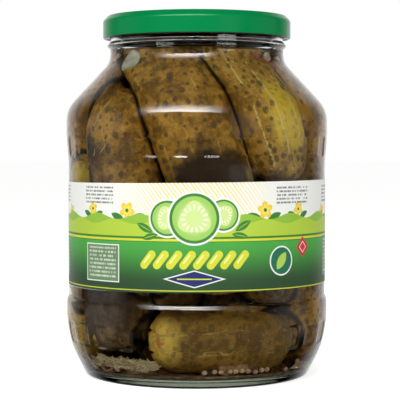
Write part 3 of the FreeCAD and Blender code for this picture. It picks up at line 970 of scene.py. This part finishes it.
def capsule(across, up, reach, half, lean):
    """A mask for a blunt-ended bar, half long from its middle, leaning by so many degrees."""
    c = math.cos(math.radians(lean))
    s = math.sin(math.radians(lean))
    du = u - across
    dv = v - up
    ahead = (du * s + dv * c).size() - half
    aside = du * c - dv * s
    past = ahead.most(0.0)
    off = (past * past + aside * aside) ** 0.5
    return off.under(reach, 0.15)


def leaf(across, up, length, breadth, lean):
    """A mask for a pointed leaf: where two discs overlap."""
    c = math.cos(math.radians(lean))
    s = math.sin(math.radians(lean))
    du = u - across
    dv = v - up
    along = du * s + dv * c
    aside = (du * c - dv * s).size()
    bow = (length * length / 4 - breadth * breadth / 4) / breadth
    reach = bow + breadth / 2
    off = (along * along + (aside + bow) * (aside + bow)) ** 0.5
    return off.under(reach, 0.12)


def plaque(left, right, low, high, soft=0.12):
    return within(u, left, right, soft) * within(v, low, high, soft)


def small_print(left, right, low, high, pitch):
    """Rows of short broken strokes, as fine print looks from afar."""
    row = (v - low) / pitch
    line = row.wrap(0.0, 1.0)
    number = row - line
    spread = paper.node("ShaderNodeCombineXYZ", sockets={"X": u * 1.1, "Y": number * 7.3})
    words = paper.noise(spread, 1.0, 1.0).rise(0.40, 0.46)
    strokes = paper.noise(spread, 5.0, 1.0).rise(0.36, 0.44)
    return plaque(left, right, low, high) * within(line, 0.25, 0.75, 0.12) * words * strokes


leaf_green = (0.045, 0.23, 0.035)
pale_green = (0.42, 0.62, 0.10)
lime = (0.29, 0.53, 0.05)
yellow = (0.66, 0.68, 0.045)
navy = (0.017, 0.032, 0.14)
white_ink = (0.89, 0.895, 0.85)

# sky, with slanting sunlight, and u and v in millimetres round and up the label
design = paper.mix(0.0, white_ink, white_ink)
slant = (u * 0.8 + v * 0.6) / 3.1
beams = slant.wrap(0.0, 1.0)
sun = u.size().rise(46.0, 10.0)
design = inked(design, within(beams, 0.10, 0.34, 0.03) * sun * 0.95, (0.95, 0.72, 0.10))
design = inked(design, within(beams, 0.60, 0.72, 0.03) * sun * 0.9, (0.95, 0.50, 0.05))

# cucumber blossoms over a waved border
far_wave = (u * (2 * math.pi / 25.3) + 2.0).sine() * 1.3 + 35.6
near_wave = (u * (2 * math.pi / 25.3) - 0.6).sine() * 1.1 + 33.2
blossoms = [(-56.0, 38.8, 3.3, 0.2), (-34.0, 38.4, 4.2, 0.7), (33.5, 38.6, 4.2, 0.1)]
blossoms += [(54.5, 38.6, 3.4, 0.5), (80.0, 36.5, 4.0, 0.3), (104.0, 37.0, 4.6, 0.9)]
blossoms += [(128.0, 36.5, 4.0, 0.0), (152.0, 37.0, 4.6, 0.6), (-80.0, 36.5, 4.0, 0.4)]
blossoms += [(-104.0, 37.0, 4.6, 0.2), (-128.0, 36.5, 4.0, 0.8), (-152.0, 37.0, 4.6, 0.5)]
for across, up, reach, turn in blossoms:
    for side in (-1, 1):
        leaf_at = (across + side * reach * 1.25, up - reach * 0.75)
        blade = leaf(*leaf_at, reach * 2.0, reach * 0.8, side * 68)
        design = inked(design, blade, leaf_green)
    _, off, du, dv = disc(across, up, reach)
    way = du.bearing(dv) + turn
    petals = (way * 2.5).cosine().size() * (reach * 0.42) + reach * 0.58
    design = inked(design, (off - petals).under(0.0, 0.15), (0.88, 0.62, 0.04))
    design = inked(design, (off - petals * 0.62).under(0.0, 0.3) * 0.6, (0.92, 0.80, 0.16))
    design = inked(design, off.rise(reach * 0.24, reach * 0.18), leaf_green)
design = inked(design, (v - far_wave).under(0.0, 0.1), lime)
design = inked(design, (v - near_wave).under(0.0, 0.1), (0.45, 0.62, 0.055))
design = inked(design, v.under(26.5, 0.1), leaf_green)
design = inked(design, within(v, 24.4, 25.5), yellow)
ground = paper.mix(v.rise(4.0, 25.0), (0.030, 0.078, 0.030), (0.072, 0.39, 0.06))
design = inked(design, v.under(24.0, 0.1), ground)
design = inked(design, within(v, 1.3, 1.75, 0.08), yellow)

# a row of gherkins, a lozenge and slices of cucumber in the middle
for step in range(8):
    body = capsule(-23.0 + step * 6.3, 15.8, 1.9, 3.1, 38)
    shine = capsule(-23.5 + step * 6.3, 16.2, 0.35, 2.2, 38)
    design = inked(design, body, yellow)
    design = inked(design, shine, (0.85, 0.88, 0.35))
aside = (u + 1.0).size()
off = aside * 0.28 + (v - 7.0).size()
design = inked(design, off.under(4.1, 0.15), white_ink)
design = inked(design, off.under(3.6, 0.15), navy)
design = inked(design, within(v, 6.7, 7.3, 0.06) * aside.under(8.0, 0.2), yellow)

slices = [(-13.5, 35.0, 8.2, 0.4), (12.5, 36.5, 7.2, 1.3), (-1.0, 35.0, 11.6, 0.0)]
for across, up, reach, turn in slices:
    outer, off, du, dv = disc(across, up, reach + 0.9)
    design = inked(design, outer, white_ink)
    design = inked(design, off.under(reach, 0.15), leaf_green)
    flesh = paper.mix((off / reach).rise(0.25, 0.8), (0.72, 0.84, 0.42), (0.34, 0.60, 0.12))
    design = inked(design, off.rise(reach * 0.90, reach * 0.87), flesh)
    way = du.bearing(dv) + turn
    lobe = (way * 3.0).cosine() * 0.09 + 0.62
    heart = (off / reach - lobe).under(0.0, 0.02)
    design = inked(design, heart, (0.62, 0.78, 0.30))
    petal = (way * (15 / (2 * math.pi))).wrap(-0.5, 0.5).size() * (2 * math.pi / 15)
    seed = ((petal / 0.09) ** 2.0 + ((off / reach - 0.45) / 0.11) ** 2.0).rise(1.25, 0.8)
    design = inked(design, seed, (0.92, 0.93, 0.66))
leaves = [(-24.5, 30.5, 9, 3.4, -62), (-22.0, 26.5, 8, 3.0, -105)]
leaves += [(22.0, 31.5, 9, 3.4, 58), (20.5, 27.0, 8, 3.0, 100)]
for across, up, length, breadth, lean in leaves:
    design = inked(design, leaf(across, up, length, breadth, lean), leaf_green)
    design = inked(design, leaf(across, up, length * 0.8, 0.35, lean), pale_green)

# a seal and a red diamond on the right, and a panel of fine print on the left
seal, off, _, _ = disc(43.0, 14.6, 7.0)
design = inked(design, seal, white_ink)
design = inked(design, off.rise(6.45, 6.2), (0.02, 0.17, 0.09))
design = inked(design, leaf(43.0, 14.6, 9.5, 4.6, 35), pale_green)
off = (u - 58.0).size() + (v - 20.5).size()
design = inked(design, off.under(5.0, 0.15), (0.62, 0.035, 0.045))
design = inked(design, (off - 2.6).size().under(0.25, 0.1), white_ink)
design = inked(design, plaque(-61.0, -38.5, 4.6, 22.4), white_ink)
design = inked(design, plaque(-60.5, -39.0, 5.1, 21.9), (0.15, 0.26, 0.13))
design = inked(design, small_print(-59.0, -40.5, 6.3, 20.9, 1.9), (0.62, 0.70, 0.55))
for left, right in ((-62, -42), (40, 62), (80, 128), (-128, -84)):
    design = inked(design, small_print(left, right, 41.0, 50.0, 1.75), (0.20, 0.20, 0.20))
for left, right in ((84, 124), (-126, -88)):
    design = inked(design, plaque(left - 1.5, right + 1.5, 5.0, 24.0), (0.15, 0.26, 0.13))
    design = inked(design, small_print(left, right, 6.5, 23.0, 1.9), (0.62, 0.70, 0.55))

# bare paper inside and at the cut edges
away = (x * x + y * y) ** 0.5 / MM
face = label_high.x / MM
printed = away.rise(face - 0.12, face - 0.06) * within(v, 0.25, label_height - 0.25, 0.05)
design = paper.mix(printed, (0.80, 0.80, 0.74), design)
label.data.materials.clear()
label.data.materials.append(
    paper.surface(
        Base_Color=design,
        Roughness=0.42,
        Specular_IOR_Level=0.3,
        Normal=paper.bump(grain, 0.02 * MM, 0.3),
    )
)

# --- Floor, light and camera --------------------------------------------------------------
# A plain white table top and surround with the room dark in front and above, a lamp high on
# the left, one overhead, and a long soft box that shows in the glass alone.
def seen_ray(finish):
    """Whether a ray sees the surround straight or through glass, and whether it was mirrored."""
    outs = ("Is Camera Ray", "Is Transmission Ray", "Diffuse Depth", "Glossy Depth")
    direct, through, scattered, mirrored = finish.several("ShaderNodeLightPath", outs)
    straight = direct.most(through)
    for bounces in (scattered, mirrored):
        straight = (straight - bounces).most(0.0)
    return straight, mirrored.least(1.0)


table = fresh(bpy.ops.mesh.primitive_plane_add, size=14.0, location=(0, 5.0, 0))
table.name = "table"
white = Finish("table")
straight, mirrored = seen_ray(white)
lit = white.node("ShaderNodeBsdfDiffuse", sockets={"Color": (0.93, 0.93, 0.92)})
glow = white.node("ShaderNodeEmission", sockets={"Strength": straight * 0.7})
both = white.node("ShaderNodeAddShader", sockets={0: lit, 1: glow})
gone = white.node("ShaderNodeBsdfTransparent")
either = white.node("ShaderNodeMixShader", sockets={0: mirrored, 1: both, 2: gone})
table.data.materials.append(white.end(Surface=either))
table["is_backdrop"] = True

box = fresh(bpy.ops.mesh.primitive_plane_add, size=1.0)
box.name = "soft_box"
box.scale = (1.7, 0.75, 1)
bpy.ops.object.transform_apply(scale=True)
box.location = (-0.17, -0.74, 0.87)
box.rotation_euler = (Vector((0, 0, 0.13)) - box.location).to_track_quat("-Z", "Y").to_euler()
lamp_cloth = Finish("soft_box")
across, up, _ = lamp_cloth.parts(lamp_cloth.place())
fade = across.size().rise(0.85, 0.15) * (up.rise(0.38, -0.36) ** 2.0)
shine = lamp_cloth.node("ShaderNodeEmission", sockets={"Strength": fade * 20.0})
box.data.materials.append(lamp_cloth.end(Surface=shine))
for kind in ("camera", "diffuse", "transmission", "shadow", "volume_scatter"):
    setattr(box, f"visible_{kind}", False)
box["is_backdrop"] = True

sky = Finish("surround", surround=True)
bpy.context.scene.world = sky.material
straight, mirrored = seen_ray(sky)
aside, ahead, _ = sky.parts(sky.node("ShaderNodeTexCoord", out="Generated"))
flanks = aside.size().rise(0.86, 0.99) * 0.4
behind = ahead.rise(0.45, 0.98)
room = sky.node("ShaderNodeMix", sockets={0: mirrored, 2: 0.3, 3: flanks.most(behind)})
strength = sky.node("ShaderNodeMix", sockets={0: straight, 2: room, 3: 1.0})
glow = sky.node("ShaderNodeBackground", sockets={"Color": (1, 1, 1), "Strength": strength})
sky.end(Surface=glow)

for name, place, aim, wide, tall, power in (
    ("key", (-0.78, -0.76, 0.58), (0, 0, 0.09), 0.5, 0.5, 6.0),
    ("overhead", (-0.05, -0.72, 1.0), (0, 0, 0.11), 0.62, 0.3, 4.2),
    ("fill", (0.7, -0.8, 0.3), (0, 0, 0.09), 0.5, 0.5, 3.6),
):
    lamp = bpy.data.lights.new(name, "AREA")
    lamp.shape = "RECTANGLE"
    lamp.size = wide
    lamp.size_y = tall
    lamp.energy = power
    held = bpy.data.objects.new(name, lamp)
    bpy.context.scene.collection.objects.link(held)
    held.location = place
    held.rotation_euler = (Vector(aim) - Vector(place)).to_track_quat("-Z", "Y").to_euler()
    held.visible_glossy = False

camera = bpy.data.cameras.new("camera")
camera.lens = 137.4
camera.sensor_width = 36.0
view = bpy.data.objects.new("camera", camera)
bpy.context.scene.collection.objects.link(view)
view.location = (0.0016, -0.765, 0.113)
looks_down = math.radians(1.97)
view.rotation_euler = (math.pi / 2 - looks_down, 0, 0)
bpy.context.scene.camera = view
bpy.context.scene.view_settings.view_transform = "Standard"

both = {"cad": [list(corner) for corner in cad_box], "visual": [list(c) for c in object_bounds()]}
